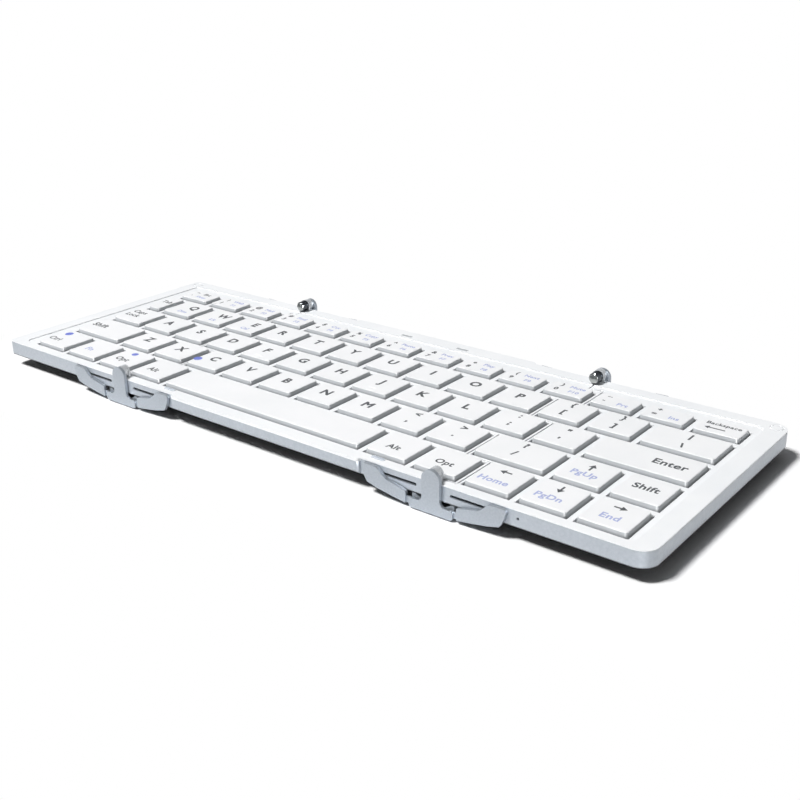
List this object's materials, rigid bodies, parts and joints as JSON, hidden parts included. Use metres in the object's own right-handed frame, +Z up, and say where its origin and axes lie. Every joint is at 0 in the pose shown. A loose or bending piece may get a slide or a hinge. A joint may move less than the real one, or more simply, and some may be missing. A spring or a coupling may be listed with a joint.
{
  "type": "folding keyboard",
  "caption": "Pocket computer keyboard in three panels that fold over one another on T-shaped brackets with sliding links.",
  "frame": {"origin": "middle of the keyboard's outline on the table that its rubber feet stand on", "axes": "+X along the key rows to the right, -Y towards the person typing, +Z up out of the keys; panels open flat"},
  "size_m": [0.2478, 0.0924, 0.0129],
  "materials": {
    "case_shell": "satin",
    "deck": "matte",
    "keycap": "matte",
    "dome_sheet": "matte",
    "circuit_board": "satin",
    "battery_foil": "satin",
    "plated_steel": "satin",
    "light_window": "gloss",
    "ribbon": "gloss",
    "hinge_metal": "satin",
    "spine_plastic": "satin",
    "foot_rubber": "matte",
    "pin_steel": "polished",
    "leaf_steel": "satin"
  },
  "bodies": {
    "middle_panel": {"middle_case": "case_shell", "middle_deck": "deck", "middle_dome_sheet": "dome_sheet", "middle_key_board": "circuit_board", "battery": "battery_foil", "charging_socket": "plated_steel", "status_lights": "light_window", "middle_hinge_leaves": "leaf_steel", "middle_screws": "pin_steel"},
    "left_panel": {"left_case": "case_shell", "left_deck": "deck", "left_dome_sheet": "dome_sheet", "left_key_board": "circuit_board", "left_hinge_leaves": "leaf_steel", "left_screws": "pin_steel"},
    "right_panel": {"right_case": "case_shell", "right_deck": "deck", "right_dome_sheet": "dome_sheet", "right_key_board": "circuit_board", "right_hinge_leaves": "leaf_steel", "right_screws": "pin_steel"},
    "left_hinge": {"left_hinge_brackets": "hinge_metal", "left_spine": "spine_plastic", "left_spine_feet": "foot_rubber", "left_hinge_pins": "pin_steel", "left_ribbon_cable": "ribbon"},
    "right_hinge": {"right_hinge_brackets": "hinge_metal", "right_spine": "spine_plastic", "right_spine_feet": "foot_rubber", "right_hinge_pins": "pin_steel", "right_ribbon_cable": "ribbon"},
    "left_outer_link": {"left_outer_links": "hinge_metal"},
    "left_inner_link": {"left_inner_links": "hinge_metal"},
    "right_outer_link": {"right_outer_links": "hinge_metal"},
    "right_inner_link": {"right_inner_links": "hinge_metal"},
    "esc": {"esc_key": "keycap"},
    "tab": {"tab_key": "keycap"},
    "caps_lock": {"caps_lock_key": "keycap"},
    "left_shift": {"left_shift_key": "keycap"},
    "ctrl": {"ctrl_key": "keycap"},
    "fn": {"fn_key": "keycap"},
    "left_option": {"left_option_key": "keycap"},
    "left_letter": {"left_letter_keys": "keycap"},
    "left_alt": {"left_alt_key": "keycap"},
    "space": {"space_key": "keycap"},
    "right_alt": {"right_alt_key": "keycap"},
    "right_option": {"right_option_key": "keycap"},
    "middle_number": {"middle_number_keys": "keycap"},
    "middle_upper_letter": {"middle_upper_letter_keys": "keycap"},
    "middle_lower_letter": {"middle_lower_letter_keys": "keycap"},
    "backspace": {"backspace_key": "keycap"},
    "backslash": {"backslash_key": "keycap"},
    "enter": {"enter_key": "keycap"},
    "slash": {"slash_key": "keycap"},
    "up_arrow": {"up_arrow_key": "keycap"},
    "right_shift": {"right_shift_key": "keycap"},
    "left_arrow": {"left_arrow_key": "keycap"},
    "down_arrow": {"down_arrow_key": "keycap"},
    "right_arrow": {"right_arrow_key": "keycap"},
    "right_symbol": {"right_symbol_keys": "keycap"}
  },
  "joints": [
    {"name": "right_fold", "type": "hinge", "parent": "middle_panel", "child": "right_panel", "pos_m": [0.0623, 0, 0.011], "axis": [0, -1, 0], "range_deg": [0, 180]},
    {"name": "right_hinge_turn", "type": "hinge", "parent": "middle_panel", "child": "right_hinge", "pos_m": [0.0623, 0, 0.011], "axis": [0, -1, 0], "range_deg": [0, 90]},
    {"name": "right_outer_link_turn", "type": "hinge", "parent": "right_hinge", "child": "right_outer_link", "pos_m": [0.0683, 0, 0.0016], "axis": [0, -1, 0], "range_deg": [0, 77]},
    {"name": "right_inner_link_turn", "type": "hinge", "parent": "right_hinge", "child": "right_inner_link", "pos_m": [0.0563, 0, 0.0016], "axis": [0, -1, 0], "range_deg": [-77, 0]},
    {"name": "left_fold", "type": "hinge", "parent": "middle_panel", "child": "left_panel", "pos_m": [-0.0623, 0, 0.011], "axis": [0, 1, 0], "range_deg": [0, 180]},
    {"name": "left_hinge_turn", "type": "hinge", "parent": "middle_panel", "child": "left_hinge", "pos_m": [-0.0623, 0, 0.011], "axis": [0, 1, 0], "range_deg": [0, 90]},
    {"name": "left_outer_link_turn", "type": "hinge", "parent": "left_hinge", "child": "left_outer_link", "pos_m": [-0.0683, 0, 0.0016], "axis": [0, 1, 0], "range_deg": [0, 77]},
    {"name": "left_inner_link_turn", "type": "hinge", "parent": "left_hinge", "child": "left_inner_link", "pos_m": [-0.0563, 0, 0.0016], "axis": [0, 1, 0], "range_deg": [-77, 0]},
    {"name": "esc_travel", "type": "slide", "parent": "left_panel", "child": "esc", "axis": [0, 0, -1], "range_m": [0, 0.0011], "stiffness_N_per_m": 400},
    {"name": "tab_travel", "type": "slide", "parent": "left_panel", "child": "tab", "axis": [0, 0, -1], "range_m": [0, 0.0011], "stiffness_N_per_m": 400},
    {"name": "caps_lock_travel", "type": "slide", "parent": "left_panel", "child": "caps_lock", "axis": [0, 0, -1], "range_m": [0, 0.0011], "stiffness_N_per_m": 400},
    {"name": "left_shift_travel", "type": "slide", "parent": "left_panel", "child": "left_shift", "axis": [0, 0, -1], "range_m": [0, 0.0011], "stiffness_N_per_m": 400},
    {"name": "ctrl_travel", "type": "slide", "parent": "left_panel", "child": "ctrl", "axis": [0, 0, -1], "range_m": [0, 0.0011], "stiffness_N_per_m": 400},
    {"name": "fn_travel", "type": "slide", "parent": "left_panel", "child": "fn", "axis": [0, 0, -1], "range_m": [0, 0.0011], "stiffness_N_per_m": 400},
    {"name": "left_option_travel", "type": "slide", "parent": "left_panel", "child": "left_option", "axis": [0, 0, -1], "range_m": [0, 0.0011], "stiffness_N_per_m": 400},
    {"name": "left_letter_travel", "type": "slide", "parent": "left_panel", "child": "left_letter", "axis": [0, 0, -1], "range_m": [0, 0.0011], "stiffness_N_per_m": 2000},
    {"name": "left_alt_travel", "type": "slide", "parent": "middle_panel", "child": "left_alt", "axis": [0, 0, -1], "range_m": [0, 0.0011], "stiffness_N_per_m": 400},
    {"name": "space_travel", "type": "slide", "parent": "middle_panel", "child": "space", "axis": [0, 0, -1], "range_m": [0, 0.0011], "stiffness_N_per_m": 400},
    {"name": "right_alt_travel", "type": "slide", "parent": "middle_panel", "child": "right_alt", "axis": [0, 0, -1], "range_m": [0, 0.0011], "stiffness_N_per_m": 400},
    {"name": "right_option_travel", "type": "slide", "parent": "middle_panel", "child": "right_option", "axis": [0, 0, -1], "range_m": [0, 0.0011], "stiffness_N_per_m": 400},
    {"name": "middle_number_travel", "type": "slide", "parent": "middle_panel", "child": "middle_number", "axis": [0, 0, -1], "range_m": [0, 0.0011], "stiffness_N_per_m": 2000},
    {"name": "middle_upper_letter_travel", "type": "slide", "parent": "middle_panel", "child": "middle_upper_letter", "axis": [0, 0, -1], "range_m": [0, 0.0011], "stiffness_N_per_m": 2000},
    {"name": "middle_lower_letter_travel", "type": "slide", "parent": "middle_panel", "child": "middle_lower_letter", "axis": [0, 0, -1], "range_m": [0, 0.0011], "stiffness_N_per_m": 2000},
    {"name": "backspace_travel", "type": "slide", "parent": "right_panel", "child": "backspace", "axis": [0, 0, -1], "range_m": [0, 0.0011], "stiffness_N_per_m": 400},
    {"name": "backslash_travel", "type": "slide", "parent": "right_panel", "child": "backslash", "axis": [0, 0, -1], "range_m": [0, 0.0011], "stiffness_N_per_m": 400},
    {"name": "enter_travel", "type": "slide", "parent": "right_panel", "child": "enter", "axis": [0, 0, -1], "range_m": [0, 0.0011], "stiffness_N_per_m": 400},
    {"name": "slash_travel", "type": "slide", "parent": "right_panel", "child": "slash", "axis": [0, 0, -1], "range_m": [0, 0.0011], "stiffness_N_per_m": 400},
    {"name": "up_arrow_travel", "type": "slide", "parent": "right_panel", "child": "up_arrow", "axis": [0, 0, -1], "range_m": [0, 0.0011], "stiffness_N_per_m": 400},
    {"name": "right_shift_travel", "type": "slide", "parent": "right_panel", "child": "right_shift", "axis": [0, 0, -1], "range_m": [0, 0.0011], "stiffness_N_per_m": 400},
    {"name": "left_arrow_travel", "type": "slide", "parent": "right_panel", "child": "left_arrow", "axis": [0, 0, -1], "range_m": [0, 0.0011], "stiffness_N_per_m": 400},
    {"name": "down_arrow_travel", "type": "slide", "parent": "right_panel", "child": "down_arrow", "axis": [0, 0, -1], "range_m": [0, 0.0011], "stiffness_N_per_m": 400},
    {"name": "right_arrow_travel", "type": "slide", "parent": "right_panel", "child": "right_arrow", "axis": [0, 0, -1], "range_m": [0, 0.0011], "stiffness_N_per_m": 400},
    {"name": "right_symbol_travel", "type": "slide", "parent": "right_panel", "child": "right_symbol", "axis": [0, 0, -1], "range_m": [0, 0.0011], "stiffness_N_per_m": 2000}
  ],
  "couplings": [
    {"joint": "right_hinge_turn", "follows": "right_fold", "ratio": 0.5},
    {"joint": "right_outer_link_turn", "follows": "right_fold", "ratio": 0.42754},
    {"joint": "right_inner_link_turn", "follows": "right_fold", "ratio": -0.42754},
    {"joint": "left_hinge_turn", "follows": "left_fold", "ratio": 0.5},
    {"joint": "left_outer_link_turn", "follows": "left_fold", "ratio": 0.42754},
    {"joint": "left_inner_link_turn", "follows": "left_fold", "ratio": -0.42754}
  ]
}
